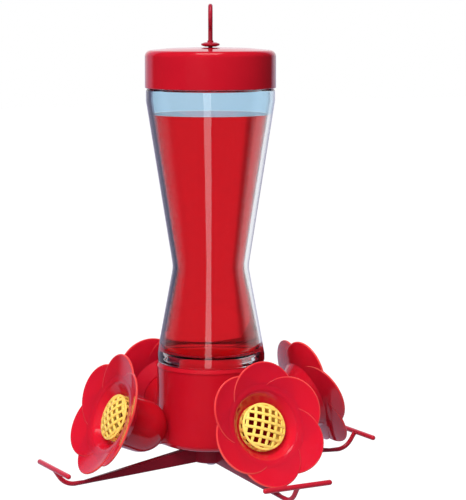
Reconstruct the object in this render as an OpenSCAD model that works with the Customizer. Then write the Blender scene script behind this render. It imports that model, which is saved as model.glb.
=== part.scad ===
// Hanging nectar feeder for small birds. A pinched glass bottle stands neck down in a round
// reservoir with four tilted horns. Each horn holds a six-petal flower with a domed mesh guard,
// and a frame under the reservoir carries one T-shaped perch in front of each flower.
// Z is up and zero is the surface that the four perch bends stand on. The bottle's axis is Z.
// The front flower faces -Y, the right one +X, the back one +Y and the left one -X.

/* [Hanger] */
// Radius of the hanger's wire
wire_r = 1.15; // [0.95:0.05:1.35]
// Radius of the hook's ring, to the middle of the wire
hook_r = 5.2; // [4.8:0.1:7]
// Radius of the small bend that brings the hook over the axis
hook_bend_r = 3; // [2.6:0.1:4]
// Angle that the hook's ring covers
hook_sweep = 273; // [240:1:285]
// Straight wire between the disc and the hook's first bend
wire_straight_h = 5.3; // [3:0.1:30]
// Angle of the hook's plane about the axis, which swivels freely
hanger_turn = 62; // [0:1:359]
// Radius of the disc above the cap
disc_r = 4.7; // [4:0.1:7]
// Thickness of the disc
disc_t = 2.2; // [1.2:0.1:2.6]
// Height of the short sleeve on top of the disc
disc_sleeve_h = 0.9; // [0.8:0.1:3]
// Gap between the cap and the disc
disc_gap = 0.4; // [0.3:0.1:1.5]
// Radius of the washer under the cap's top
washer_r = 4.2; // [3.4:0.1:6]
// Thickness of the washer
washer_t = 0.8; // [0.5:0.1:1.2]
// Radius of the wire's upset head
head_r = 2.4; // [2:0.1:3]
// Thickness of the wire's upset head
head_t = 1.3; // [1:0.1:1.8]

/* [Cap] */
// Overhang of the cap beyond the bottle's wide top
cap_lip = 0.5; // [0.2:0.1:2]
// Height of the cap's wall up to the corner of its top
cap_wall_h = 18.8; // [17.5:0.1:24]
// Height that the cap's top rises above that corner
cap_crown_h = 1.6; // [1.2:0.1:3]
// Rounding of the cap's top edge
cap_edge_r = 3.2; // [1.5:0.1:4]
// Thickness of the cap
cap_t = 1.9; // [1.4:0.1:2.2]

/* [Bottle] */
// Outer radius of the bottle's wide top
bottle_top_r = 32.6; // [30:0.1:36]
// Outer radius at the waist
waist_r = 19.3; // [19:0.1:22]
// Height from the foot to the waist
waist_h = 48.5; // [44:0.5:60]
// Height from the waist to the top of the long taper
taper_h = 84.5; // [70:0.5:110]
// Height of the straight wall above the taper
straight_h = 6; // [4:0.5:12]
// Height of the upright part of the foot
foot_h = 3.5; // [2.5:0.5:6]
// Thickness of the glass
glass_t = 2.4; // [1.8:0.1:2.6]
// Height of the thick glass shoulder above the foot
shoulder_h = 5.2; // [4:0.1:7]
// Rounding of the waist
waist_round = 15; // [8:1:25]
// Outer radius of the neck below its thread
neck_r = 19.6; // [17:0.1:22]
// Wall of the neck
neck_t = 3; // [2.4:0.1:3.6]
// Length of the neck below the foot
neck_h = 15.5; // [13:0.5:17]
// Depth of the bottle's closed crown inside the cap
crown_h = 14.1; // [12:0.1:15]
// Step from the bottle's straight wall to its crown
crown_step = 2; // [1.8:0.1:2.6]
// Distance from the cap's lower edge down to the nectar's surface
air_h = 12.9; // [10:0.1:60]

/* [Base] */
// Height of the reservoir's underside above the ground
base_z = 14.5; // [12.5:0.1:18]
// Room between the socket and the reservoir's wall
socket_room = 2.4; // [2:0.1:6]
// Height of the reservoir
reservoir_h = 39.9; // [38:0.1:46]
// Thickness of the reservoir's wall
reservoir_t = 2; // [1.6:0.1:2.2]
// Thickness of the reservoir's floor
floor_t = 2.2; // [1.6:0.1:3]
// Rounding of the reservoir's lower edge
floor_round = 3; // [1:0.1:4]
// Height of the collar on top of the reservoir
collar_h = 2.3; // [1.8:0.1:4]
// Overhang of the collar beyond the reservoir
collar_lip = 0.3; // [0.1:0.1:0.6]
// Slope of the collar, measured inwards
collar_slope = 0.8; // [0.3:0.1:1.5]
// Depth of the collar's plug in the reservoir
plug_h = 5; // [3:0.5:8]
// Room for the thread between the neck and its socket
thread_room = 1.7; // [1.3:0.1:2]
// Wall of the threaded socket
socket_t = 1.9; // [1.4:0.1:2.2]
// Thickness of the ledge under the gasket
ledge_t = 1.6; // [1.2:0.1:2.5]
// Thickness of the neck gasket
gasket_t = 1.5; // [1:0.1:2.5]
// Width by which the gasket and its ledge reach in under the neck's bore
gasket_lap = 1.1; // [0.6:0.1:2]

/* [Horns] */
// Distance of each horn's ball from the reservoir's wall
port_reach = 12.9; // [11:0.1:15]
// Height of each horn's ball above the reservoir's underside
port_h = 12.4; // [12:0.1:15]
// Upward tilt of each feeding port
port_tilt = 21.5; // [12:0.5:26]
// Outer radius of a horn
horn_r = 13.5; // [13:0.1:14.2]
// Wall of a horn
horn_t = 1.3; // [1.1:0.1:1.6]
// Length of a horn from its ball's centre to its mouth
horn_h = 10.5; // [9.5:0.1:14]
// Radius of the passage between the reservoir and a horn
passage_r = 3.5; // [2.5:0.1:4.5]

/* [Flowers] */
// Radius of a flower to the tips of its petals
flower_r = 31.2; // [29:0.1:33]
// Radius of the round end of each petal
petal_r = 17; // [16.4:0.1:19]
// Radius where the petals fold into the throat
fold_r = 17.3; // [16.8:0.1:19]
// Depth of the throat below the fold
throat_h = 6.3; // [5:0.1:8]
// Rise of the petals from the fold to their tips
petal_rise = 4.5; // [3:0.1:7]
// Thickness of the petals and of the throat
petal_t = 1.4; // [1:0.1:1.6]
// Wall of the tube that plugs into the horn
stalk_t = 1.3; // [1:0.1:1.5]
// Length of the tube that plugs into the horn
stalk_h = 6; // [4:0.1:8]

/* [Guards] */
// Height of a guard's side wall above its seat
guard_side_h = 4.2; // [2.5:0.1:5]
// Height of a guard's dome above its side wall
dome_h = 2.8; // [2:0.1:4]
// Thickness of a guard
guard_t = 1; // [0.8:0.1:1.2]
// Distance from one mesh hole to the next
mesh_pitch = 3.9; // [3.2:0.1:4.5]
// Width of a mesh hole
mesh_hole = 2.4; // [1.6:0.1:2.5]
// Number of slots round a guard's side wall
side_slots = 18; // [12:1:20]
// Width of the guard's rim on its seat
guard_rim = 1.1; // [0.8:0.1:1.5]
// Length of the guard's skirt inside the flower
skirt_h = 4.8; // [3:0.1:6]

/* [Perch frame] */
// Radius of the hub
hub_r = 10.5; // [9:0.1:14]
// Depth of the hub below the reservoir
hub_h = 9.9; // [9:0.1:11.5]
// Height of an arm where it leaves the hub
arm_h = 7; // [5:0.1:8]
// Height of an arm's lower edge where it leaves the hub
arm_drop = 5.4; // [3.5:0.1:6]
// Width of an arm where it leaves the hub
arm_w = 5.2; // [3.5:0.1:7]
// Distance from the axis to an arm's lowest bend
bend_out = 77; // [74:0.5:84]
// Radius of the bend, to the middle of the stem
bend_r = 10; // [7:0.5:14]
// Angle that the stem turns up through
bend_turn = 56; // [45:1:70]
// Radius of the stem
stem_r = 1.2; // [1:0.1:1.5]
// Straight length of the stem above the bend
stem_h = 5.1; // [3:0.1:9]
// Radius of a perch bar
bar_r = 1.3; // [1.25:0.05:2]
// Length of a perch bar
bar_len = 38; // [24:0.2:50]
// Radius of the perch screw's shank
screw_r = 1.5; // [1.2:0.1:1.8]
// Radius of the perch screw's head
screw_head_r = 3; // [2.6:0.1:3.6]
// Height of the perch screw's head
screw_head_h = 2.4; // [1.4:0.1:2.8]
// Length of the screw's thread in the reservoir's boss
screw_bite = 6.5; // [4:0.5:9]

/* [Hidden] */
$fn = 96;

// Clearances: a loose fit, a push fit and the gap between seated faces
loose = 0.25;
push = 0.08;
seat = 0.04;
// Length by which a cut runs past the face that it opens
past = 1;
// Height by which the ball that joins two lengths of round rod stands out from them
swell = 0.04;

// Angle about the axis, turn of the petals and turn of the guard's mesh, in the order front,
// right, back, left: flowers and guards are round plugs that sit at any turn
turns = [-90, 0, 90, 180];
petal_turns = [-6, 23, 22, 0];
mesh_turns = [-19, 12, 30, 41];
petals = 6;

// Heights on the axis
port_z = base_z + port_h;
reservoir_top = base_z + reservoir_h;
collar_top = reservoir_top + collar_h;
foot_z = collar_top + 0.3;
mouth_z = foot_z - neck_h;
ledge_z = mouth_z - gasket_t;
waist_z = foot_z + waist_h;
taper_z = waist_z + taper_h;
crown_z = taper_z + straight_h;
crown_r = bottle_top_r - crown_step;
cap_gap = 0.4;
cap_z = crown_z + cap_gap;
cap_r = bottle_top_r + cap_lip;
cap_top = cap_z + cap_wall_h + cap_crown_h;
cap_under = cap_top - cap_t;
cap_bore_r = crown_r + loose;
level_z = cap_z - air_h;
disc_z = cap_top + disc_gap;
washer_z = cap_under - seat - washer_t;
head_z = washer_z - head_t;
hook_z = disc_z + disc_t + wire_straight_h;

// Roundings of the bottle's outline and of the petals
foot_round = 8;
top_round = 12;
petal_round = 40;
shelf_t = 1.2;

// Solid bars above and below a guard's side slots, together
slot_bar = 1.4;

// The snap bead on the crown and its groove in the cap
bead_z = crown_z + 4;
bead_h = 2;
bead_out = 0.5;

// Radii of the neck, the socket, the reservoir, the horn's mouth, the flower's stalk and the guard
neck_bore_r = neck_r - neck_t;
gasket_bore_r = neck_bore_r - gasket_lap;
socket_r = neck_r + thread_room;
socket_out_r = socket_r + socket_t;
reservoir_in_r = socket_out_r + socket_room;
reservoir_r = reservoir_in_r + reservoir_t;
foot_r = reservoir_r;
port_out = reservoir_r + port_reach;
horn_in_r = horn_r - horn_t;
stalk_r = horn_in_r - push;
stalk_in_r = stalk_r - stalk_t;
skirt_r = stalk_in_r - push;
guard_r = skirt_r + guard_rim;
flange_r = horn_r + 0.4;

// Places along a feeding port's axis, from the centre of the horn's ball
throat_z = horn_h + petal_t + seat;
fold_z = throat_z + throat_h;
rim_z = fold_z + petal_rise;
guard_z = throat_z + seat;
dome_z = guard_z + guard_side_h;
dome_r = (guard_r * guard_r + dome_h * dome_h) / (2 * dome_h);

// The perch frame's hub, arms and bars
hub_z = base_z - hub_h;
boss_r = screw_r + 3;
boss_h = screw_bite + 1.5;
screw_hole_r = screw_r + loose;
arm_tip_out = bend_out - 5;
stem_in = arm_tip_out - 3;
stem_from = [bend_out + bend_r * sin(bend_turn), stem_r + bend_r * (1 - cos(bend_turn))];
bar_out = stem_from.x + stem_h * cos(bend_turn);
bar_z = stem_from.y + stem_h * sin(bend_turn);

function unit(v) = v / norm(v);
function wrap(a) = a - 360 * floor((a + 180) / 360);

// Points of an arc about c
function arc(c, r, a0, a1, n = 8) =
    [for (i = [0 : n]) let (a = a0 + (a1 - a0) * i / n) [c.x + r * cos(a), c.y + r * sin(a)]];

// Points that round the corner b between a and c
function corner(a, b, c, r) =
    let (
        u = unit(a - b),
        v = unit(c - b),
        half = acos(u * v) / 2,
        centre = b + unit(u + v) * r / sin(half),
        from = b + u * r / tan(half) - centre,
        to = b + v * r / tan(half) - centre,
        start = atan2(from.y, from.x),
        turn = wrap(atan2(to.y, to.x) - start),
        n = max(2, ceil(abs(turn) / 12))
    )
    arc(centre, r, start, start + turn, n);

function flat(p) = [p.x, p.y];

// A closed outline in which each point is [x, y, radius of its corner]
function rounded(pts) =
    let (n = len(pts))
    [for (i = [0 : n - 1])
        each pts[i][2] > 0
            ? corner(flat(pts[(i + n - 1) % n]), flat(pts[i]), flat(pts[(i + 1) % n]), pts[i][2])
            : [flat(pts[i])]];

module lathe(pts) {
    rotate_extrude() polygon(rounded(pts));
}

// Puts its children on a feeding port: Z runs out along the port and X points down the flower
module on_port(i) {
    rotate([0, 0, turns[i]])
        translate([port_out, 0, port_z])
            rotate([0, 90 - port_tilt, 0])
                children();
}

// The inside of the bottle, from height low to the top of the hollow, shrunk by gap
function bottle_hollow(low, gap) = let (
        wall = glass_t + gap,
        top = crown_z + crown_h - wall
    ) [
        [0, low, 0],
        [neck_bore_r - gap, low, 0],
        [neck_bore_r - gap, foot_z + shoulder_h - 1.5, 2],
        [foot_r - wall - 0.3, foot_z + shoulder_h, 3],
        [foot_r - wall, foot_z + shoulder_h + 4, 6],
        [waist_r - wall, waist_z, waist_round],
        [bottle_top_r - wall, taper_z, top_round],
        [bottle_top_r - wall, crown_z - shelf_t - gap, 1],
        [crown_r - wall, crown_z - shelf_t + 0.2, 0.8],
        [crown_r - wall, top - 1.5, 4],
        [0, top, 0]
    ];

// Perch frame: hub, four tapered arms that bend up into stems, and four bars with round ends
module arm_blade() {
    upper = arm_drop + arm_h;
    intersection() {
        rotate([90, 0, 0])
            translate([0, 0, -arm_w])
                linear_extrude(2 * arm_w)
                    polygon([
                        [0, arm_drop], [bend_out, 0.02], [arm_tip_out, 2 * stem_r],
                        [hub_r, upper], [0, upper]
                    ]);
        linear_extrude(base_z)
            polygon([
                [0, -arm_w / 2], [hub_r, -arm_w / 2], [arm_tip_out, -stem_r], [bend_out, -stem_r * 0.2],
                [bend_out, stem_r * 0.2], [arm_tip_out, stem_r], [hub_r, arm_w / 2], [0, arm_w / 2]
            ]);
    }
}

module arm_stem() {
    translate([stem_in, 0, stem_r])
        rotate([0, 90, 0])
            cylinder(r = stem_r, h = bend_out - stem_in);
    translate([bend_out, 0, stem_r + bend_r])
        rotate([90, 0, 0])
            rotate([0, 0, -90])
                rotate_extrude(angle = bend_turn)
                    translate([bend_r, 0])
                        circle(stem_r);
    translate([stem_from.x, 0, stem_from.y]) {
        sphere(stem_r + swell);
        rotate([0, 90 - bend_turn, 0])
            cylinder(r = stem_r, h = stem_h);
    }
}

module perch_bar() {
    straight = bar_len - 2 * bar_r;
    translate([bar_out, 0, bar_z])
        rotate([90, 0, 0]) {
            cylinder(r = bar_r, h = straight, center = true);
            for (end = [-1, 1])
                translate([0, 0, end * straight / 2])
                    sphere(bar_r);
        }
}

module perch_frame() {
    color("firebrick")
        difference() {
            union() {
                translate([0, 0, hub_z])
                    cylinder(r = hub_r, h = hub_h - seat);
                for (a = turns)
                    rotate([0, 0, a]) {
                        arm_blade();
                        arm_stem();
                        perch_bar();
                    }
            }
            translate([0, 0, hub_z - past])
                cylinder(r = screw_hole_r, h = hub_h + 2 * past);
        }
}

// Perch screw: round head with a cross recess, and a shank that bites in the reservoir's boss
module perch_screw() {
    head = screw_head_h - seat;
    color("silver")
        difference() {
            translate([0, 0, hub_z - screw_head_h])
                lathe([
                    [0, 0, 0], [screw_head_r * 0.7, 0, 0], [screw_head_r, head * 0.45, 0],
                    [screw_head_r, head, 0], [screw_r, head, 0],
                    [screw_r, screw_head_h + hub_h + screw_bite, 0],
                    [0, screw_head_h + hub_h + screw_bite, 0]
                ]);
            for (a = [0, 90])
                rotate([0, 0, a])
                    translate([0, 0, hub_z - screw_head_h + 0.4])
                        cube([screw_head_r * 1.1, 0.6, 1], center = true);
        }
}

// Reservoir: an open cup with four horns, each a ball and a tube with a passage to the cup
module horn(r, h) {
    rotate_extrude() {
        intersection() {
            circle(r);
            translate([0, -r])
                square([r, r]);
        }
        square([r, h]);
    }
}

// A level rod from inside the reservoir's wall into a horn's lower half
module passage(i, r, reach) {
    rotate([0, 0, turns[i]])
        translate([reservoir_in_r + reservoir_t / 2 - 2 * reach, 0, port_z - horn_in_r / 2])
            rotate([0, 90, 0])
                cylinder(r = r, h = port_out - reservoir_in_r - horn_in_r / 2 + reach);
}

module reservoir() {
    color("crimson")
        difference() {
            union() {
                translate([0, 0, base_z])
                    lathe([
                        [0, 0, 0], [reservoir_r, 0, floor_round], [reservoir_r, reservoir_h, 0],
                        [0, reservoir_h, 0]
                    ]);
                for (i = [0 : 3]) {
                    on_port(i) horn(horn_r, horn_h);
                    passage(i, passage_r + horn_t, 0);
                }
            }
            difference() {
                translate([0, 0, base_z + floor_t])
                    lathe([
                        [0, 0, 0], [reservoir_in_r, 0, floor_round - 1 + 0.01],
                        [reservoir_in_r, reservoir_h, 0], [0, reservoir_h, 0]
                    ]);
                translate([0, 0, base_z])
                    cylinder(r = boss_r, h = boss_h + floor_t);
            }
            for (i = [0 : 3]) {
                on_port(i) horn(horn_in_r, horn_h + past);
                passage(i, passage_r, past);
            }
            translate([0, 0, base_z - past])
                cylinder(r = screw_r + seat, h = screw_bite + 1 + past);
        }
}

// Socket ring: a collar and plug that close the reservoir, and the socket for the bottle's neck
module socket_ring() {
    color("crimson")
        lathe([
            [socket_r, collar_top, 0],
            [reservoir_r + collar_lip - collar_slope, collar_top, 0.4],
            [reservoir_r + collar_lip, reservoir_top + 0.6, 0],
            [reservoir_r + collar_lip, reservoir_top + seat, 0],
            [reservoir_in_r - push, reservoir_top + seat, 0],
            [reservoir_in_r - push, reservoir_top - plug_h, 0],
            [reservoir_in_r - push - 1.2, reservoir_top - plug_h, 0],
            [reservoir_in_r - push - 1.2, reservoir_top - 0.6, 0],
            [socket_out_r, reservoir_top - 0.6, 0],
            [socket_out_r, ledge_z - ledge_t, 0],
            [gasket_bore_r, ledge_z - ledge_t, 0],
            [gasket_bore_r, ledge_z, 0],
            [socket_r, ledge_z, 0]
        ]);
}

// Neck gasket: a flat ring between the bottle's lip and the socket's ledge
module neck_gasket() {
    color("dimgray")
        translate([0, 0, ledge_z])
            difference() {
                cylinder(r = neck_r + loose, h = gasket_t);
                translate([0, 0, -past])
                    cylinder(r = gasket_bore_r, h = gasket_t + 2 * past);
            }
}

// Bottle: straight top, long taper to the waist, flared foot, neck, and a closed crown with a bead
module bottle() {
    color("lightblue", 0.35)
        difference() {
            lathe([
                [0, mouth_z, 0],
                [neck_r, mouth_z, 0.8],
                [neck_r, foot_z, 0],
                [foot_r, foot_z, 1],
                [foot_r, foot_z + foot_h, foot_round],
                [waist_r, waist_z, waist_round],
                [bottle_top_r, taper_z, top_round],
                [bottle_top_r, crown_z, 1],
                [crown_r, crown_z, 0],
                [crown_r, bead_z, 0],
                [crown_r + bead_out, bead_z + bead_h / 4, 0],
                [crown_r + bead_out, bead_z + bead_h * 3 / 4, 0],
                [crown_r, bead_z + bead_h, 0],
                [crown_r, crown_z + crown_h - 1.5, 5],
                [0, crown_z + crown_h, 0]
            ]);
            lathe(bottle_hollow(mouth_z - past, 0));
        }
}

// Nectar: the liquid that stands in the bottle up to its level
module nectar() {
    color("red", 0.8)
        intersection() {
            lathe(bottle_hollow(mouth_z + seat, seat));
            cylinder(r = cap_r, h = level_z);
        }
}

// Cap: a shallow domed shell that snaps over the bottle's crown
module cap() {
    corner_z = cap_z + cap_wall_h;
    flat_r = disc_r + 3;
    color("crimson")
        difference() {
            lathe([
                [0, cap_z, 0], [cap_r, cap_z, 0.5], [cap_r, corner_z, cap_edge_r],
                [cap_r * 0.62, corner_z + cap_crown_h * 0.75, 60], [flat_r, cap_top, 0], [0, cap_top, 0]
            ]);
            lathe([
                [0, cap_z - past, 0],
                [cap_bore_r, cap_z - past, 0],
                [cap_bore_r, bead_z - loose, 0],
                [cap_bore_r + bead_out, bead_z + bead_h / 4 - loose, 0],
                [cap_bore_r + bead_out, bead_z + bead_h * 3 / 4 + loose, 0],
                [cap_bore_r, bead_z + bead_h + loose, 0],
                [cap_bore_r, corner_z - cap_t, 2],
                [flat_r, cap_under, 0],
                [0, cap_under, 0]
            ]);
            translate([0, 0, cap_under - past])
                cylinder(r = wire_r + push, h = cap_t + 2 * past);
        }
}

// Washer under the cap's top, which carries the feeder's weight on the wire's head
module rod_washer() {
    color("silver")
        translate([0, 0, washer_z])
            difference() {
                cylinder(r = washer_r, h = washer_t);
                translate([0, 0, -past])
                    cylinder(r = wire_r + push, h = washer_t + 2 * past);
            }
}

// Hanger: a wire with an upset head below the cap and a hook that is centred over the axis
module hanger_rod() {
    lean = acos(hook_bend_r / (hook_bend_r + hook_r));
    ring_z = hook_z + (hook_bend_r + hook_r) * sin(lean);
    color("brown")
        rotate([0, 0, hanger_turn]) {
            translate([0, 0, head_z - seat])
                cylinder(r = head_r, h = head_t);
            translate([0, 0, head_z - seat])
                cylinder(r = wire_r, h = hook_z - head_z + seat);
            translate([-hook_bend_r, 0, hook_z])
                rotate([90, 0, 0])
                    rotate_extrude(angle = lean)
                        translate([hook_bend_r, 0])
                            circle(wire_r);
            translate([0, 0, ring_z])
                rotate([90, 0, 0])
                    rotate([0, 0, 180 + lean - hook_sweep])
                        rotate_extrude(angle = hook_sweep)
                            translate([hook_r, 0])
                                circle(wire_r);
            translate([0, 0, ring_z])
                for (a = [-180 - lean, hook_sweep - 180 - lean])
                    rotate([0, a, 0])
                        translate([hook_r, 0, 0])
                            sphere(wire_r + swell);
        }
}

// Disc pushed on the wire above the cap, with a short sleeve
module rod_disc() {
    color("crimson")
        translate([0, 0, disc_z])
            lathe([
                [wire_r + seat, 0, 0], [disc_r * 0.6, 0, 2], [disc_r, disc_t * 0.3, 0.5],
                [disc_r, disc_t * 0.7, 0.5], [disc_r * 0.6, disc_t, 2], [wire_r + 0.5, disc_t, 0.4],
                [wire_r + 0.3, disc_t + disc_sleeve_h, 0], [wire_r + seat, disc_t + disc_sleeve_h, 0]
            ]);
}

// Flower: a stalk that plugs into the horn, a throat and six round petals
module flower_outline() {
    reach = flower_r - petal_r;
    circle(fold_r);
    for (k = [0 : petals - 1])
        rotate(k * 360 / petals)
            translate([reach, 0])
                circle(petal_r);
}

module flower(i) {
    span = flower_r - fold_r;
    floor_r = guard_r + 0.6;
    color("crimson")
        on_port(i)
            rotate([0, 0, petal_turns[i]])
            intersection() {
                lathe([
                    [stalk_in_r, horn_h + seat - stalk_h, 0],
                    [stalk_r, horn_h + seat - stalk_h, 0],
                    [stalk_r, horn_h + seat, 0],
                    [flange_r, horn_h + seat, 0],
                    [fold_r + petal_t * 0.6, fold_z - petal_t * 0.8, 2.5],
                    [fold_r + span * 0.6, fold_z + petal_rise * 0.5 - petal_t, petal_round],
                    [flower_r + past, rim_z - petal_t, 0],
                    [flower_r + past, rim_z, 0],
                    [fold_r + span * 0.6, fold_z + petal_rise * 0.5, petal_round],
                    [fold_r, fold_z, 2.5],
                    [floor_r, throat_z, 0.8],
                    [stalk_in_r, throat_z, 0]
                ]);
                linear_extrude(rim_z + past)
                    flower_outline();
            }
}

// Guard: a skirt, a rim that seats in the throat, a slotted side wall and a mesh dome
module mesh() {
    reach = ceil(guard_r / mesh_pitch);
    hole_field = guard_r - guard_t - 0.3;
    difference() {
        circle(guard_r - guard_t / 2);
        intersection() {
            circle(hole_field);
            for (x = [-reach : reach])
                for (y = [-reach : reach])
                    if (norm([x, y]) * mesh_pitch < hole_field)
                        translate([x * mesh_pitch, y * mesh_pitch])
                            square(mesh_hole, center = true);
        }
    }
}

module guard(i) {
    centre_z = dome_z + dome_h - dome_r;
    slot_h = guard_side_h - slot_bar;
    color("gold")
        on_port(i)
            rotate([0, 0, mesh_turns[i]]) {
                intersection() {
                    translate([0, 0, centre_z])
                        difference() {
                            sphere(dome_r);
                            sphere(dome_r - guard_t);
                        }
                    translate([0, 0, dome_z - 0.4])
                        linear_extrude(dome_h + past)
                            mesh();
                }
                difference() {
                    lathe([
                        [skirt_r - guard_t, guard_z - skirt_h, 0], [skirt_r, guard_z - skirt_h, 0],
                        [skirt_r, guard_z, 0], [guard_r, guard_z, 0], [guard_r, dome_z, 0],
                        [guard_r - guard_t, dome_z, 0], [guard_r - guard_t, guard_z + 0.6, 0],
                        [skirt_r - guard_t, guard_z + 0.2, 0]
                    ]);
                    for (k = [0 : side_slots - 1])
                        rotate([0, 0, k * 360 / side_slots])
                            translate([guard_r, 0, guard_z + guard_side_h / 2 + 0.2])
                                cube([2 * guard_t + 0.6, mesh_hole, slot_h], center = true);
                }
            }
}

perch_frame();
perch_screw();
reservoir();
socket_ring();
neck_gasket();
bottle();
nectar();
cap();
rod_washer();
hanger_rod();
rod_disc();
flower(0);  // flower_front
flower(1);  // flower_right
flower(2);  // flower_back
flower(3);  // flower_left
guard(0);  // guard_front
guard(1);  // guard_right
guard(2);  // guard_back
guard(3);  // guard_left
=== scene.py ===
"""Hummingbird feeder: the finish of every surface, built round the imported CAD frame."""
import math

import bmesh
import bpy
from mathutils import Matrix, Vector


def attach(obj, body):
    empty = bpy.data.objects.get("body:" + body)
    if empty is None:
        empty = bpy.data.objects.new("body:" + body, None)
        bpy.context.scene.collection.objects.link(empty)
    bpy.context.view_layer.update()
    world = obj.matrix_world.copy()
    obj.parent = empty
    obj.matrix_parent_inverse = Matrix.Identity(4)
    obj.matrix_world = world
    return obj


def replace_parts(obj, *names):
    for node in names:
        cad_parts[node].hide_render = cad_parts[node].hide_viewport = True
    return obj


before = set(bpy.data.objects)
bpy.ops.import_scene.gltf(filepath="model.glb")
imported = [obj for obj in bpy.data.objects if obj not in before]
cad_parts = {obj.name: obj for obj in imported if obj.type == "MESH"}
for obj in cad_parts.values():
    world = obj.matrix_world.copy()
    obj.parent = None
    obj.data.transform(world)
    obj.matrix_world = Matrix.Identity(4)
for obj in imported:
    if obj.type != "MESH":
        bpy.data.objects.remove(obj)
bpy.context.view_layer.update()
scene = bpy.context.scene

# Lengths below are in millimetres, as in the part's source, and meshes are made in metres
MM = 0.001

# Bottle
NECK_R, NECK_BORE_R = 19.6, 16.6
MOUTH_Z, FOOT_Z, WAIST_Z, TAPER_Z, CROWN_Z, CROWN_TOP_Z = 41.5, 57.0, 105.5, 190.0, 196.0, 210.1
FOOT_R, WAIST_R, TOP_R, CROWN_R = 27.6, 19.3, 32.6, 30.6
FOOT_H, SHOULDER_H, GLASS_T = 3.5, 5.2, 2.4
# The liquid below the neck's top has a finish of its own
COLLAR_TOP_Z, NECK_TOP_Z = 56.7, 60.2
LEVEL_Z, NECTAR_GAP = 183.5, 0.04
THREAD_PITCH, THREAD_OUT = 4.0, 1.2
TAPER_SLOPE = (TOP_R - WAIST_R) / (TAPER_Z - WAIST_Z)
# The glass foot meets the collar, so that the red plastic shows through it
FOOT_LOW_Z = COLLAR_TOP_Z - 0.01

# Cap
CAP_Z, CAP_CORNER_Z, CAP_TOP_Z = 196.4, 215.2, 216.8
CAP_R, CAP_T, CAP_EDGE_R, CAP_FLAT_R, CAP_BORE_R = 33.1, 1.9, 3.2, 7.7, 30.85
ROD_HOLE_R = 1.23

# Feeding ports: places along a port's axis are counted from the centre of the horn's ball
PORT_OUT, PORT_Z, PORT_TILT = 40.5, 26.9, 21.5
HORN_R, HORN_H, SEAT = 13.5, 10.5, 0.04
STALK_R, STALK_IN_R, STALK_H = 12.12, 10.82, 6.0
THROAT_Z, FOLD_Z, RIM_Z = 11.94, 18.24, 22.74
PETALS, FLOWER_R, PETAL_R, FOLD_R = 6, 31.2, 17.0, 17.3
GUARD_R, SKIRT_R, SKIRT_H, GUARD_Z = 11.84, 10.74, 4.8, 11.98
GUARD_SIDE_H, DOME_H, MESH_PITCH, RIB_W = 4.2, 2.8, 3.9, 1.5
SIDE_SLOTS = 18
SIDES = {
    "front": {"turn": -90, "petal_turn": -6, "mesh_turn": -19},
    "right": {"turn": 0, "petal_turn": 23, "mesh_turn": 12},
    "back": {"turn": 90, "petal_turn": 22, "mesh_turn": 30},
    "left": {"turn": 180, "petal_turn": 0, "mesh_turn": 41},
}

# Perch frame
HUB_R, HUB_Z, HUB_TOP_Z, SCREW_HOLE_R = 10.5, 4.6, 14.46, 1.75
ARM_W, ARM_H, ARM_DROP = 5.2, 7.0, 5.4
BEND_OUT, BEND_R, BEND_TURN, ARM_TIP_OUT = 77.0, 10.0, 56, 72.0
STEM_R, STEM_H, BAR_R, BAR_LEN = 1.2, 5.1, 1.3, 38.0


# Camera

FOCAL_PX, IMAGE_H = 1892.85, 500
CAMERA_D, CAMERA_Z = 959.0, 235.9
CAMERA_TURN, CAMERA_PITCH, CAMERA_YAW = -28.03, 7.25, 0.68


def flat_direction(azimuth):
    """Level unit vector from the object towards a camera at that azimuth."""
    a = math.radians(azimuth)
    return Vector((math.sin(a), -math.cos(a), 0))


def add_camera():
    camera = bpy.data.objects.new("camera", bpy.data.cameras.new("camera"))
    scene.collection.objects.link(camera)
    camera.data.sensor_width = 36
    camera.data.lens = FOCAL_PX / IMAGE_H * camera.data.sensor_width
    place = flat_direction(CAMERA_TURN) * CAMERA_D + Vector((0, 0, CAMERA_Z))
    heading = math.atan2(-place.y, -place.x) - math.radians(CAMERA_YAW)
    pitch = math.radians(CAMERA_PITCH)
    look = Vector((math.cos(heading) * math.cos(pitch), math.sin(heading) * math.cos(pitch),
                   -math.sin(pitch)))
    camera.location = place * MM
    camera.rotation_euler = look.to_track_quat("-Z", "Y").to_euler()
    scene.camera = camera


# Mesh tools

def arc(centre, r, a0, a1, n):
    """Points of an arc about centre, with angles in degrees."""
    angles = [math.radians(a0 + (a1 - a0) * i / n) for i in range(n + 1)]
    return [(centre[0] + r * math.cos(a), centre[1] + r * math.sin(a)) for a in angles]


def rounded(points, closed=True):
    """An outline in which each point is (x, y, radius of its corner)."""
    out = []
    for i, (x, y, r) in enumerate(points):
        if r <= 0 or (not closed and i in (0, len(points) - 1)):
            out.append((x, y))
            continue
        here = Vector((x, y))
        u = (Vector(points[i - 1][:2]) - here).normalized()
        v = (Vector(points[(i + 1) % len(points)][:2]) - here).normalized()
        half = u.angle(v) / 2
        centre = here + (u + v).normalized() * (r / math.sin(half))
        a0 = math.degrees(math.atan2(*reversed(here + u * (r / math.tan(half)) - centre)))
        a1 = math.degrees(math.atan2(*reversed(here + v * (r / math.tan(half)) - centre)))
        turn = (a1 - a0 + 180) % 360 - 180
        out += arc(centre, r, a0, a0 + turn, max(3, math.ceil(abs(turn) / 8)))
    return out


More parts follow.
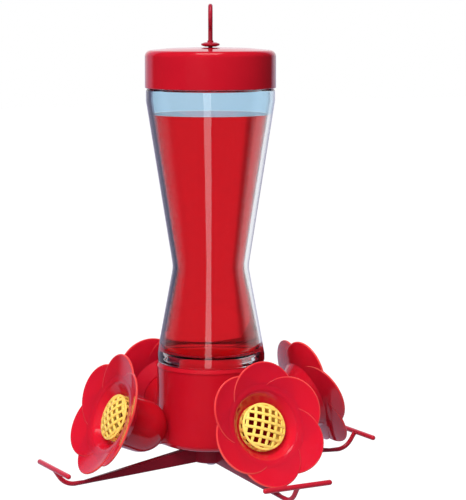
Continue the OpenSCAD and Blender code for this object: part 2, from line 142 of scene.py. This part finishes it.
class Shape:
    """Points in millimetres and faces, gathered from several forms."""

    def __init__(self):
        self.points = []
        self.faces = []
        self.rim_faces = []

    def grid(self, rows, close_rows=False, close_columns=False, matrix=None, rim=range(0)):
        """Adds rows of points joined by quads; the columns in rim get the second material."""
        start, width = len(self.points), len(rows[0])
        for row in rows:
            self.points += [matrix @ Vector(p) for p in row] if matrix else [Vector(p) for p in row]
        for i in range(len(rows) - (0 if close_rows else 1)):
            for j in range(width - (0 if close_columns else 1)):
                a, b = start + i * width, start + (i + 1) % len(rows) * width
                k = (j + 1) % width
                if j in rim:
                    self.rim_faces.append(len(self.faces))
                self.faces.append((a + j, b + j, b + k, a + k))

    def lathe(self, outline, steps=128, matrix=None, closed=True, rim=range(0)):
        """Turns an outline of (radius, height) about the Z axis."""
        turns = [2 * math.pi * i / steps for i in range(steps)]
        rows = [[(r * math.cos(a), r * math.sin(a), z) for r, z in outline] for a in turns]
        self.grid(rows, close_rows=True, close_columns=closed, matrix=matrix, rim=rim)

    def loft(self, rings, matrix=None):
        """Joins rings of points and closes both ends."""
        start, width = len(self.points), len(rings[0])
        self.grid(rings, close_columns=True, matrix=matrix)
        last = start + (len(rings) - 1) * width
        self.faces.append(tuple(range(start, start + width)))
        self.faces.append(tuple(reversed(range(last, last + width))))

    def build(self, name, body, *materials, sharp_angle=38):
        """Makes the object, cleans its mesh and puts it on a body."""
        mesh = bpy.data.meshes.new(name)
        mesh.from_pydata([p * MM for p in self.points], [], self.faces)
        for material in materials:
            mesh.materials.append(material)
        for i in self.rim_faces:
            mesh.polygons[i].material_index = 1
        clean = bmesh.new()
        clean.from_mesh(mesh)
        bmesh.ops.remove_doubles(clean, verts=clean.verts, dist=1e-7)
        bmesh.ops.dissolve_degenerate(clean, edges=clean.edges, dist=1e-8)
        bmesh.ops.recalc_face_normals(clean, faces=clean.faces)
        clean.to_mesh(mesh)
        clean.free()
        mesh.shade_smooth()
        mesh.set_sharp_from_angle(angle=math.radians(sharp_angle))
        piece = bpy.data.objects.new(name, mesh)
        scene.collection.objects.link(piece)
        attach(piece, body)
        return piece


# Materials

GLOW_DEPTH = 0.004
# Half of the height over which a colour changes at a level, in metres
LEVEL_BLEND = 0.0004


class Graph:
    """The nodes of a material or of the world."""

    def __init__(self, tree):
        self.nodes, self.links = tree.nodes, tree.links

    def add(self, kind, **settings):
        node = self.nodes.new("ShaderNode" + kind)
        for name, value in settings.items():
            setattr(node, name, value)
        return node

    def link(self, output, socket):
        self.links.new(output, socket)

    def noise(self, scale, detail=3.0, stretch=(1, 1, 1)):
        """Noise in the object's own space, from 0 to 1."""
        place = self.add("TexCoord")
        mapping = self.add("Mapping")
        mapping.inputs["Scale"].default_value = stretch
        texture = self.add("TexNoise")
        texture.inputs["Scale"].default_value = scale
        texture.inputs["Detail"].default_value = detail
        self.link(place.outputs["Object"], mapping.inputs["Vector"])
        self.link(mapping.outputs["Vector"], texture.inputs["Vector"])
        return texture.outputs["Fac"]

    def remap(self, value, low, high, to_low=0, to_high=1, smooth=False):
        node = self.add("MapRange")
        if smooth:
            node.interpolation_type = "SMOOTHSTEP"
        self.link(value, node.inputs["Value"])
        sockets = ("From Min", "From Max", "To Min", "To Max")
        for socket, number in zip(sockets, (low, high, to_low, to_high)):
            node.inputs[socket].default_value = number
        return node.outputs["Result"]

    def mix(self, factor, a, b):
        """Mixes two colours, each a socket or an (r, g, b)."""
        node = self.add("Mix", data_type="RGBA")
        self.link(factor, node.inputs["Factor"])
        for socket, colour in ((node.inputs[6], a), (node.inputs[7], b)):
            if isinstance(colour, tuple):
                socket.default_value = (*colour, 1)
            else:
                self.link(colour, socket)
        return node.outputs[2]

    def height_and_radius(self):
        """Height above the ground and distance from the feeder's axis, in metres."""
        place = self.add("TexCoord")
        split = self.add("SeparateXYZ")
        self.link(place.outputs["Object"], split.inputs["Vector"])
        level = self.add("CombineXYZ")
        self.link(split.outputs["X"], level.inputs["X"])
        self.link(split.outputs["Y"], level.inputs["Y"])
        length = self.add("VectorMath", operation="LENGTH")
        self.link(level.outputs["Vector"], length.inputs[0])
        return split.outputs["Z"], length.outputs["Value"]

    def facing_angle(self):
        """Layer weight: 0 where a surface faces the viewer and 1 at its outline."""
        return self.add("LayerWeight").outputs["Facing"]

    def ray(self, output):
        """What kind of ray meets the surface, or how often it has been bent or mirrored."""
        return self.add("LightPath").outputs[output]

    def along(self, direction):
        """How far a ray of the world points along a direction, from -1 to 1."""
        place = self.add("TexCoord")
        dot = self.add("VectorMath", operation="DOT_PRODUCT")
        self.link(place.outputs["Generated"], dot.inputs[0])
        dot.inputs[1].default_value = direction
        return dot.outputs["Value"]

    def bump(self, shader, height, distance, strength=1.0, bevel=0.0):
        """Bump from a height of 0 to 1, over edges that a bevel radius in metres rounds."""
        bump = self.add("Bump")
        bump.inputs["Distance"].default_value = distance
        bump.inputs["Strength"].default_value = strength
        self.link(height, bump.inputs["Height"])
        if bevel:
            edge = self.add("Bevel", samples=6)
            edge.inputs["Radius"].default_value = bevel
            self.link(edge.outputs["Normal"], bump.inputs["Normal"])
        self.link(bump.outputs["Normal"], shader.inputs["Normal"])


def new_material(name):
    material = bpy.data.materials.new(name)
    material.use_nodes = True
    graph = Graph(material.node_tree)
    return material, graph, graph.nodes["Principled BSDF"]


def plastic(name, colour, deep, rough=0.16, bevel=0.0, outer=None, outer_from=0.0, outer_to=1.0,
            glow=0.0):
    """Moulded plastic that light enters a little; the colour outer takes over far from the axis."""
    material, graph, shader = new_material(name)
    cloud = graph.remap(graph.noise(28, 2), 0.35, 0.7)
    base = graph.mix(cloud, colour, deep)
    if outer:
        radius = graph.height_and_radius()[1]
        base = graph.mix(graph.remap(radius, outer_from, outer_to, smooth=True), base, outer)
    graph.link(base, shader.inputs["Base Color"])
    scuff = graph.noise(170, 4)
    roughness = graph.remap(scuff, 0.3, 0.75, rough * 0.8, rough * 1.35)
    graph.link(roughness, shader.inputs["Roughness"])
    shader.inputs["IOR"].default_value = 1.48
    if glow:
        shader.inputs["Subsurface Weight"].default_value = glow
        shader.inputs["Subsurface Scale"].default_value = GLOW_DEPTH
        shader.inputs["Subsurface Radius"].default_value = colour
    graph.bump(shader, graph.noise(90, 2), 0.00012, 0.5, bevel)
    return material


def clear(name, ior, upper, lower, edge, absorb, density, through=1.0):
    """Glass or liquid.

    The tint is upper above the nectar's level, lower below it, and edge at the outline of the
    bottle's body. On the bottle the bluer upper tint is a painted reflection of the sky, and the
    edge tint is painted shade at the outline.
    """
    material, graph, shader = new_material(name)
    height = graph.height_and_radius()[0]
    level, foot = LEVEL_Z * MM, FOOT_Z * MM
    # Painted reflection: above the nectar's level the tint turns to upper, which on the bottle
    # stands for the sky mirrored in the glass
    in_air = graph.remap(height, level - LEVEL_BLEND, level + LEVEL_BLEND)
    tint = graph.mix(in_air, lower, upper)
    cloud = graph.remap(graph.noise(18, 2), 0.3, 0.7, 0, 0.3)
    tint = graph.mix(cloud, tint, lower)
    facing = graph.facing_angle()
    # Painted shade: the tint turns to edge where the surface turns away from the viewer
    rim = graph.mix(graph.remap(facing, 0.66, 0.84, smooth=True), tint, edge)
    above_foot = graph.remap(height, foot, foot + LEVEL_BLEND)
    graph.link(graph.mix(above_foot, tint, rim), shader.inputs["Base Color"])
    shader.inputs["Transmission Weight"].default_value = through
    shader.inputs["IOR"].default_value = ior
    graph.link(graph.remap(facing, 0.55, 0.75, 0.5, 0.04), shader.inputs["Specular IOR Level"])
    graph.link(graph.remap(graph.noise(60, 2), 0.3, 0.8, 0, 0.02), shader.inputs["Roughness"])
    graph.bump(shader, graph.noise(14, 1, (1, 1, 0.35)), 0.0004, 0.35)
    volume = graph.add("VolumeAbsorption")
    volume.inputs["Color"].default_value = (*absorb, 1)
    volume.inputs["Density"].default_value = density
    graph.link(volume.outputs["Volume"], graph.nodes["Material Output"].inputs["Volume"])
    return material


def metal(name, colour, rough, painted=False):
    material, graph, shader = new_material(name)
    wear = graph.remap(graph.noise(120, 4), 0.35, 0.7)
    dull = tuple(c * 0.72 for c in colour)
    graph.link(graph.mix(wear, colour, dull), shader.inputs["Base Color"])
    shader.inputs["Metallic"].default_value = 0 if painted else 1
    graph.link(graph.remap(wear, 0, 1, rough, rough + 0.1), shader.inputs["Roughness"])
    graph.bump(shader, graph.noise(260, 3), 0.00005, 0.5, 0.0002)
    return material


RED = (0.52, 0.0068, 0.0175)
RED_DEEP = (0.46, 0.0055, 0.016)
FLOWER_RED = (0.61, 0.0078, 0.0225)
FLOWER_DEEP = (0.56, 0.0066, 0.024)
# Painted highlight: the lighter red on the petals' round edges stands in for light glinting and
# glowing at their rims
RIM_HIGHLIGHT_RED = (0.80, 0.085, 0.07)
HORN_RED = (0.55, 0.007, 0.017)
# Painted shade: the perch arms and hub are one plastic with the bars, drawn dark maroon to stand in
# for the shade they lie in
ARM_PAINTED_SHADE = (0.22, 0.009, 0.022)
ARM_PAINTED_SHADE_DEEP = (0.18, 0.008, 0.020)
BAR_RED = (0.52, 0.014, 0.032)
NECTAR_RED = (0.78, 0.012, 0.020)
# Deeper nectar red: a random tone in the neck, and painted shade at the outline of the clear liquid
NECTAR_DEEP_AND_EDGE_SHADE = (0.74, 0.011, 0.020)
YELLOW = (1.0, 0.71, 0.16)
YELLOW_DEEP = (1.0, 0.60, 0.11)

MATERIALS = {
    "cap": plastic("cap_plastic", RED, RED_DEEP, 0.08),
    "base": plastic("base_plastic", RED, RED_DEEP, 0.09, 0.0005, HORN_RED, 0.0285, 0.033, glow=0.3),
    "ring": plastic("ring_plastic", RED, RED_DEEP, 0.12, 0.0003),
    "flower": plastic("flower_plastic", FLOWER_RED, FLOWER_DEEP, 0.11, glow=0.2),
    # Petal rims: a lighter red as a painted highlight
    "petal_rim_painted_highlight": plastic("petal_rim_painted_highlight", RIM_HIGHLIGHT_RED, FLOWER_RED, 0.11, glow=0.2),
    # The maroon near the axis is painted shade; the bars far from it keep the plastic's lit red
    "arm": plastic("arm_plastic", ARM_PAINTED_SHADE, ARM_PAINTED_SHADE_DEEP, 0.14, 0.0, BAR_RED, 0.070, 0.086),
    "guard": plastic("guard_plastic", YELLOW, YELLOW_DEEP, 0.28, glow=0.2),
    "disc": plastic("disc_plastic", (0.36, 0.008, 0.02), (0.30, 0.007, 0.02), 0.18, 0.0002),
    "wire": metal("wire_paint", (0.36, 0.012, 0.03), 0.22, True),
    "steel": metal("screw_steel", (0.56, 0.56, 0.58), 0.26),
    "rubber": plastic("gasket_rubber", (0.03, 0.03, 0.03), (0.02, 0.02, 0.02), 0.55, 0.0002),
    # Bottle glass: bluer above the nectar's level as a painted reflection of the sky, and dark navy
    # at its outline as painted shade
    "glass": clear("bottle_glass", 1.5, (0.62, 0.81, 0.94), (0.96, 0.97, 0.98), (0.25, 0.30, 0.38),
                   (0.30, 0.42, 0.56), 14),
    "neck": plastic("neck_liquid", NECTAR_RED, NECTAR_DEEP_AND_EDGE_SHADE, 0.1),
    # Nectar: a deeper red at its outline as painted shade
    "nectar": clear("nectar_liquid", 1.36, NECTAR_RED, NECTAR_RED, NECTAR_DEEP_AND_EDGE_SHADE,
                    (0.75, 0.05, 0.08), 2, 0.93),
}


# Pieces

def bottle_hollow(low, gap):
    """Inside of the bottle from height low upwards, drawn in by gap."""
    wall = GLASS_T + gap
    top = CROWN_TOP_Z - wall
    return [
        (0, low, 0), (NECK_BORE_R - gap, low, 0),
        (NECK_BORE_R - gap, NECK_TOP_Z + 0.5, 2),
        (FOOT_R - wall - 0.3, FOOT_Z + SHOULDER_H, 3),
        (FOOT_R - wall, FOOT_Z + SHOULDER_H + 4, 6),
        (WAIST_R - wall, WAIST_Z, 15),
        (TOP_R - wall, TAPER_Z, 12),
        (TOP_R - wall, CROWN_Z + 0.6, 0.8),
        (CROWN_R - wall, CROWN_Z + 1.8, 1),
        (CROWN_R - wall, top - 1.5, 4),
        (0, top, 0),
    ]


def thread_ridge(shape):
    """Two turns of rounded thread round the neck, run out at both ends."""
    steps, low, turns = 150, MOUTH_Z + 3.2, 2.25
    rows = []
    for i in range(steps + 1):
        t = i / steps
        a = 2 * math.pi * turns * t
        rise = THREAD_OUT * min(1, t * 14, (1 - t) * 14)
        z = low + THREAD_PITCH * turns * t
        row = [(NECK_R - 0.2, z - 1.15), (NECK_R + rise * 0.7, z - 0.55), (NECK_R + rise, z),
               (NECK_R + rise * 0.7, z + 0.55), (NECK_R - 0.2, z + 1.15)]
        rows.append([(r * math.cos(a), r * math.sin(a), h) for r, h in row])
    shape.loft(rows)


def add_bottle():
    outer = rounded([
        (NECK_BORE_R, MOUTH_Z, 0), (NECK_R, MOUTH_Z, 0.8), (NECK_R, FOOT_LOW_Z, 0.6),
        (FOOT_R, FOOT_LOW_Z, 1.2), (FOOT_R, FOOT_Z + FOOT_H, 8), (WAIST_R, WAIST_Z, 15),
        (TOP_R, TAPER_Z, 12), (TOP_R, CROWN_Z, 1), (CROWN_R, CROWN_Z, 0.5),
        (CROWN_R, CROWN_TOP_Z - 1.5, 5), (0, CROWN_TOP_Z, 0),
    ], closed=False)
    inner = rounded(bottle_hollow(MOUTH_Z, 0)[1:], closed=False)
    shape = Shape()
    shape.lathe(outer + inner[::-1], 192)
    glass = shape.build("bottle_glass", "bottle", MATERIALS["glass"])
    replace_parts(glass, "bottle")
    ridge = Shape()
    thread_ridge(ridge)
    ridge.build("bottle_thread", "bottle", MATERIALS["glass"])
    return glass


def add_nectar():
    """The liquid is just clear of the glass, so that the wall's own edge shows at the outline."""
    hollow = rounded(bottle_hollow(MOUTH_Z + 0.1, NECTAR_GAP), closed=False)
    wall = [p for p in hollow if p[1] < LEVEL_Z]
    edge_r = wall[-1][0] + (LEVEL_Z - wall[-1][1]) * TAPER_SLOPE
    shape = Shape()
    in_neck = sum(1 for p in wall if p[1] < NECK_TOP_Z)
    shape.lathe(wall + [(edge_r, LEVEL_Z), (0, LEVEL_Z)], 192, rim=range(in_neck - 1))
    fill = shape.build("nectar_fill", "bottle", MATERIALS["nectar"], MATERIALS["neck"])
    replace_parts(fill, "nectar")
    return fill


def add_cap():
    outline = rounded([
        (CAP_BORE_R, CAP_Z, 0.3), (CAP_R, CAP_Z, 0.6), (CAP_R, CAP_CORNER_Z, CAP_EDGE_R),
        (CAP_R * 0.62, CAP_CORNER_Z + 1.2, 60), (CAP_FLAT_R, CAP_TOP_Z, 12),
        (ROD_HOLE_R, CAP_TOP_Z, 0.2), (ROD_HOLE_R, CAP_TOP_Z - CAP_T, 0),
        (CAP_FLAT_R, CAP_TOP_Z - CAP_T, 0),
        (CAP_BORE_R, CAP_CORNER_Z - CAP_T, 2),
    ])
    shape = Shape()
    shape.lathe(outline, 192)
    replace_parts(shape.build("cap_shell", "bottle", MATERIALS["cap"]), "cap")


def port_matrix(side, turn=0):
    """From a feeding port's own space: Z runs out along the port and X points down the flower."""
    return (Matrix.Rotation(math.radians(SIDES[side]["turn"]), 4, "Z")
            @ Matrix.Translation((PORT_OUT, 0, PORT_Z))
            @ Matrix.Rotation(math.radians(90 - PORT_TILT), 4, "Y")
            @ Matrix.Rotation(math.radians(turn), 4, "Z"))


def disc_height(radius):
    """Height of the smooth face from which the petals spread."""
    s = (radius - FOLD_R) / (FLOWER_R - FOLD_R)
    return FOLD_Z + (RIM_Z - FOLD_Z) * (0.58 * s + 0.42 * s * s)


def petal_height(radius, phi):
    """Height of a petal's face; one side lies on the next petal and the other side under it."""
    s = max(0, (radius - FOLD_R) / (FLOWER_R - FOLD_R))
    pinwheel = 0.34 * (phi / 30) * s ** 1.6
    cup = 0.08 * ((phi / 30) ** 2 - 0.5) * s
    lift = -0.25 + 0.3 * min(1, max(0, (radius - FOLD_R - 0.8) / 3))
    return disc_height(radius) + pinwheel + cup + lift


def petal_reach(phi):
    """Distance from the flower's axis to the edge of the petal's round end."""
    reach = FLOWER_R - PETAL_R
    a = math.radians(phi)
    return reach * math.cos(a) + math.sqrt(PETAL_R ** 2 - (reach * math.sin(a)) ** 2)


def add_petal(shape, matrix):
    """One petal: a thin sheet with a round edge."""
    across, along, half_t = 44, 16, 0.55
    half_angle = 57.0
    faces = []
    for i in range(across + 1):
        phi = half_angle * math.sin(math.pi / 2 * (2 * i / across - 1))
        edge = max(FOLD_R + 0.5, petal_reach(phi) - half_t)
        row = []
        for j in range(along + 1):
            radius = FOLD_R + (edge - FOLD_R) * (1 - (1 - j / along) ** 1.5)
            a = math.radians(phi)
            height = petal_height(radius, phi)
            row.append(Vector((radius * math.cos(a), radius * math.sin(a), height)))
        faces.append(row)
    rows = []
    for i, row in enumerate(faces):
        tip = row[-1]
        out = (row[-1] - row[-2]).normalized()
        side = faces[min(i + 1, across)][-1] - faces[max(i - 1, 0)][-1]
        up = side.cross(out).normalized()
        up = up if up.z > 0 else -up
        out = up.cross(side).normalized()
        out = out if out.dot(row[-1] - row[-2]) > 0 else -out
        middle = tip - up * half_t
        rim = [middle + (up * math.cos(a) + out * math.sin(a)) * half_t
               for a in [math.pi * k / 6 for k in range(1, 6)]]
        rows.append(row + rim + [p - up * 2 * half_t for p in reversed(row)])
    shape.grid(rows, close_columns=True, matrix=matrix, rim=range(along, along + 6))


def add_flower(side):
    facts = SIDES[side]
    shape = Shape()
    disc_r = FOLD_R + 4
    matrix = port_matrix(side, facts["petal_turn"])
    shape.lathe(rounded([
        (STALK_IN_R, HORN_H + SEAT - STALK_H, 0.3), (STALK_R, HORN_H + SEAT - STALK_H, 0.3),
        (STALK_R, HORN_H + SEAT, 0), (HORN_R + 0.4, HORN_H + SEAT, 0.5),
        (FOLD_R + 0.9, FOLD_Z - 1.1, 2.5), (disc_r, disc_height(disc_r) - 0.9, 0.3),
        (disc_r, disc_height(disc_r), 0.2), (FOLD_R, FOLD_Z, 4), (GUARD_R + 0.6, THROAT_Z, 0.8),
        (STALK_IN_R, THROAT_Z, 0.3),
    ]), 144, matrix)
    for k in range(PETALS):
        add_petal(shape, matrix @ Matrix.Rotation(math.radians(360 / PETALS * k), 4, "Z"))
    # The petals' round edges take the second material, a painted highlight
    flower = shape.build("petals_" + side, side + "_flower",
                         MATERIALS["flower"], MATERIALS["petal_rim_painted_highlight"], sharp_angle=50)
    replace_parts(flower, "flower_" + side)
    return flower


def round_section(half_w, half_h, corner, steps=4):
    """Points of a rectangle with round corners, about its middle."""
    points = []
    for quarter, (sx, sy) in enumerate(((1, 1), (-1, 1), (-1, -1), (1, -1))):
        centre = (sx * (half_w - corner), sy * (half_h - corner))
        points += arc(centre, corner, 90 * quarter, 90 * quarter + 90, steps)
    return points


def add_guard(side):
    """Lattice dome on a ring of posts, with the rim and the skirt that plug in the flower."""
    shape = Shape()
    matrix = port_matrix(side, SIDES[side]["mesh_turn"])
    dome_z = GUARD_Z + GUARD_SIDE_H
    dome_r = (GUARD_R ** 2 + DOME_H ** 2) / (2 * DOME_H)
    centre = Vector((0, 0, dome_z + DOME_H - dome_r))
    for direction, sink in ((0, 0.0), (90, 0.22)):
        turn = matrix @ Matrix.Rotation(math.radians(direction), 4, "Z")
        for k in range(-3, 3):
            x = (k + 0.5) * MESH_PITCH
            reach = math.sqrt((GUARD_R - 0.5) ** 2 - x * x)
            rings = []
            for i in range(21):
                y = reach * (2 * i / 20 - 1)
                top = Vector((x, y, centre.z + math.sqrt(dome_r ** 2 - x * x - y * y)))
                up = (top - centre).normalized()
                aside = Vector((1, 0, 0)) - up * up.x
                aside.normalize()
                middle = top - up * (0.5 + sink)
                section = round_section(RIB_W / 2, 0.5, 0.38)
                rings.append([middle + aside * a + up * b for a, b in section])
            shape.loft(rings, turn)
    shape.lathe(rounded([
        (GUARD_R - 1.15, dome_z - 0.75, 0.3), (GUARD_R, dome_z - 0.75, 0.3),
        (GUARD_R, dome_z + 0.1, 0.45), (GUARD_R - 1.25, dome_z + 0.5, 0.4),
    ]), 96, matrix)
    shape.lathe(rounded([
        (SKIRT_R - 1, GUARD_Z - SKIRT_H, 0.2), (SKIRT_R, GUARD_Z - SKIRT_H, 0.2),
        (SKIRT_R, GUARD_Z, 0), (GUARD_R, GUARD_Z, 0.2), (GUARD_R, GUARD_Z + 0.7, 0.3),
        (GUARD_R - 1, GUARD_Z + 0.7, 0.2),
    ]), 96, matrix)
    for k in range(SIDE_SLOTS):
        post = matrix @ Matrix.Rotation(math.radians((k + 0.5) * 360 / SIDE_SLOTS), 4, "Z")
        rings = [[(GUARD_R - 0.5 + a, b, z) for a, b in round_section(0.42, 0.85, 0.3)]
                 for z in (GUARD_Z + 0.4, dome_z - 0.3)]
        shape.loft(rings, post)
    guard = shape.build("lattice_" + side, side + "_guard", MATERIALS["guard"], sharp_angle=50)
    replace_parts(guard, "guard_" + side)
    return guard


def arm_ring(x, half_w, low, high, corner):
    middle = (low + high) / 2
    return [(x, a, middle + b) for a, b in round_section(half_w, (high - low) / 2, corner)]


def add_perch_frame():
    shape = Shape()
    shape.lathe(rounded([
        (SCREW_HOLE_R, HUB_Z, 0.3), (HUB_R, HUB_Z, 1), (HUB_R, HUB_TOP_Z, 0.4),
        (SCREW_HOLE_R, HUB_TOP_Z, 0),
    ]), 96)
    top = ARM_DROP + ARM_H
    for facts in SIDES.values():
        matrix = Matrix.Rotation(math.radians(facts["turn"]), 4, "Z")
        rings = []
        for x in (4, HUB_R, 16, 24, 32, 40, 48, 56, 62, 67, ARM_TIP_OUT, 74.5, BEND_OUT):
            t = min(1, max(0, (x - HUB_R) / (ARM_TIP_OUT - HUB_R)))
            high = max(2 * STEM_R, top + (2 * STEM_R - top) * t)
            low = ARM_DROP * (1 - x / BEND_OUT)
            half_w = ARM_W / 2 + (STEM_R - ARM_W / 2) * t
            corner = min(0.45 + 0.75 * t ** 3, half_w, (high - low) / 2)
            rings.append(arm_ring(x, half_w, low, high, corner))
        circle = round_section(STEM_R, STEM_R, STEM_R)
        steps = 12
        for i in range(1, steps + 1):
            turn = math.radians(BEND_TURN * i / steps)
            up = Vector((-math.sin(turn), 0, math.cos(turn)))
            middle = Vector((BEND_OUT, 0, STEM_R + BEND_R)) - up * BEND_R
            rings.append([middle + Vector((0, a, 0)) + up * b for a, b in circle])
        run = Vector((math.cos(turn), 0, math.sin(turn)))
        for along, flare in ((STEM_H * 0.5, 1.0), (STEM_H - 1.6, 1.04), (STEM_H - 0.9, 1.25),
                             (STEM_H - 0.4, 1.6)):
            place = middle + run * along
            rings.append([place + Vector((0, a * flare, 0)) + up * b for a, b in circle])
        shape.loft(rings, matrix)
        bar_middle = middle + run * STEM_H
        straight = BAR_LEN / 2 - BAR_R
        outline = arc((0, -straight), BAR_R, -90, 0, 8) + arc((0, straight), BAR_R, 0, 90, 8)
        along_y = Matrix.Translation(bar_middle) @ Matrix.Rotation(math.radians(90), 4, "X")
        shape.lathe(outline, 32, matrix @ along_y, closed=False)
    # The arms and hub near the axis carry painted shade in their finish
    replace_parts(shape.build("perch_arms", "base", MATERIALS["arm"]), "perch_frame")


def finish_cad(node, material):
    """Gives a CAD node that stays in view its finish."""
    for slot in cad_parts[node].material_slots:
        slot.material = material


# Stage

# The feeder hangs, so the floor is well below it; both in metres
FLOOR_Z, FLOOR_REACH = -0.26, 8
FLOOR_GREY = 0.20
FLOOR_GLOW, FLOOR_GLOW_SEEN = 0.06, 0.95
WHITE = (1.0, 1.0, 1.0)
DARK_WALL = (0.05, 0.045, 0.055)
NAVY_WALL = (0.02, 0.03, 0.06)
# Lamps don't reach what is behind the glass, and this makes up for them
BEHIND_GLASS = (3.5, 3.5, 3.5)


def add_floor():
    mesh = bpy.data.meshes.new("floor")
    corners = [(x * FLOOR_REACH, y * FLOOR_REACH, FLOOR_Z)
               for x, y in ((-1, -1), (1, -1), (1, 1), (-1, 1))]
    mesh.from_pydata(corners, [], [(0, 1, 2, 3)])
    floor = bpy.data.objects.new("floor", mesh)
    scene.collection.objects.link(floor)
    material, graph, shader = new_material("floor_paper")
    shader.inputs["Base Color"].default_value = (FLOOR_GREY, FLOOR_GREY, FLOOR_GREY, 1)
    shader.inputs["Roughness"].default_value = 0.9
    shader.inputs["Specular IOR Level"].default_value = 0
    shader.inputs["Emission Color"].default_value = (1, 1, 1, 1)
    glow = graph.remap(graph.ray("Is Camera Ray"), 0, 1, FLOOR_GLOW, FLOOR_GLOW_SEEN)
    graph.link(glow, shader.inputs["Emission Strength"])
    mesh.materials.append(material)
    floor.visible_glossy = False
    floor.visible_transmission = False


def add_world():
    """White to the camera; glass and gloss see a white backdrop between dark studio walls."""
    world = bpy.data.worlds.new("studio")
    scene.world = world
    world.use_nodes = True
    graph = Graph(world.node_tree)
    background = graph.nodes["Background"]
    up = Vector((0, 0, 1))
    back = graph.along(-flat_direction(CAMERA_TURN))
    backdrop = graph.along(-flat_direction(CAMERA_TURN + 7))
    across = graph.along(flat_direction(CAMERA_TURN + 90))
    low = graph.along(up + 0.5 * flat_direction(CAMERA_TURN))
    lit = graph.along((flat_direction(CAMERA_TURN - 15) + up).normalized())

    # What gloss mirrors
    behind = graph.remap(backdrop, 0.55, 0.72, smooth=True)
    centre = graph.remap(back, 0.75, 0.93, smooth=True)
    wall = graph.mix(centre, (0.56, 0.50, 0.72), (0.96, 0.94, 0.98))
    gloss = graph.mix(behind, DARK_WALL, wall)
    below = graph.remap(low, -0.42, -0.56, smooth=True)
    gloss = graph.mix(below, gloss, (0.60, 0.55, 0.74))

    # What shows through the glass: through its wall alone, or through the liquid or air too
    left_flag = graph.remap(across, -0.03, -0.12, smooth=True)
    wall_only = graph.mix(left_flag, WHITE, NAVY_WALL)
    dim = graph.mix(graph.remap(across, -0.28, -0.37, smooth=True), WHITE, (0.45, 0.45, 0.45))
    undimmed = graph.remap(across, -0.39, -0.50, smooth=True)
    liquid = graph.mix(undimmed, dim, (0.9, 0.9, 0.9))
    crossings = graph.remap(graph.ray("Transmission Depth"), 2, 4)
    seen = graph.mix(crossings, wall_only, liquid)
    front_dark = graph.remap(back, -0.1, 0.2)
    mirrored = graph.mix(front_dark, (0.05, 0.05, 0.06), seen)
    seen = graph.mix(graph.remap(graph.ray("Glossy Depth"), 0, 1), seen, mirrored)

    # What lights dull surfaces, in the open and behind the glass
    soft = graph.remap(lit, -0.7, 0.8)
    fill = graph.mix(soft, (0.08, 0.08, 0.085), (0.40, 0.40, 0.40))
    bounced = graph.remap(graph.ray("Diffuse Depth"), 0, 1)
    seen = graph.mix(bounced, seen, BEHIND_GLASS)

    fill = graph.mix(graph.ray("Is Glossy Ray"), fill, gloss)
    through = graph.mix(graph.ray("Is Transmission Ray"), fill, seen)
    colour = graph.mix(graph.ray("Is Camera Ray"), through, WHITE)
    graph.link(colour, background.inputs["Color"])
    background.inputs["Strength"].default_value = 1


def add_area(name, azimuth, distance, height, size, power, target=0.11, gloss=True):
    light = bpy.data.lights.new(name, "AREA")
    light.shape = "RECTANGLE"
    light.size, light.size_y = size
    light.energy = power
    lamp = bpy.data.objects.new(name, light)
    scene.collection.objects.link(lamp)
    lamp.location = flat_direction(azimuth) * distance + Vector((0, 0, height))
    aim = Vector((0, 0, target)) - lamp.location
    lamp.rotation_euler = aim.to_track_quat("-Z", "Y").to_euler()
    lamp.visible_camera = False
    lamp.visible_glossy = gloss
    lamp.visible_transmission = False
    return lamp


def light_only(lamp, name, objects):
    """Makes a lamp light the given objects alone."""
    lit = bpy.data.collections.new(name)
    for thing in objects:
        lit.objects.link(thing)
    lamp.light_linking.receiver_collection = lit


def add_lights(glassware, blossoms):
    """Soft boxes, with one for the flowers alone and a narrow one for the bottle alone."""
    add_area("key_box", CAMERA_TURN - 16, 1.0, 1.25, (0.9, 0.9), 18, gloss=False)
    add_area("fill_box", CAMERA_TURN - 22, 1.4, 0.2, (1.0, 1.0), 9, gloss=False)
    add_area("back_box", CAMERA_TURN + 180, 1.2, 1.0, (0.9, 0.9), 8, gloss=False)
    add_area("top_box", CAMERA_TURN - 10, 0.25, 1.2, (0.5, 0.5), 3.0)
    strip = add_area("strip_box", CAMERA_TURN - 5.5, 0.62, 0.10, (0.15, 0.62), 0.9, target=0.10)
    light_only(strip, "glassware", glassware)
    bloom = add_area("bloom_box", CAMERA_TURN + 50, 1.0, 1.25, (0.9, 0.9), 6, gloss=False)
    light_only(bloom, "blossoms", blossoms)


add_camera()
glassware = [add_bottle(), add_nectar()]
add_cap()
blossoms = [add(name) for name in SIDES for add in (add_flower, add_guard)]
add_perch_frame()
for node, finish in (("reservoir", "base"), ("socket_ring", "ring"), ("neck_gasket", "rubber"),
                     ("perch_screw", "steel"), ("rod_washer", "steel"), ("hanger_rod", "wire"),
                     ("rod_disc", "disc")):
    finish_cad(node, MATERIALS[finish])
add_floor()
add_world()
add_lights(glassware, blossoms)
scene.view_settings.view_transform = "Standard"
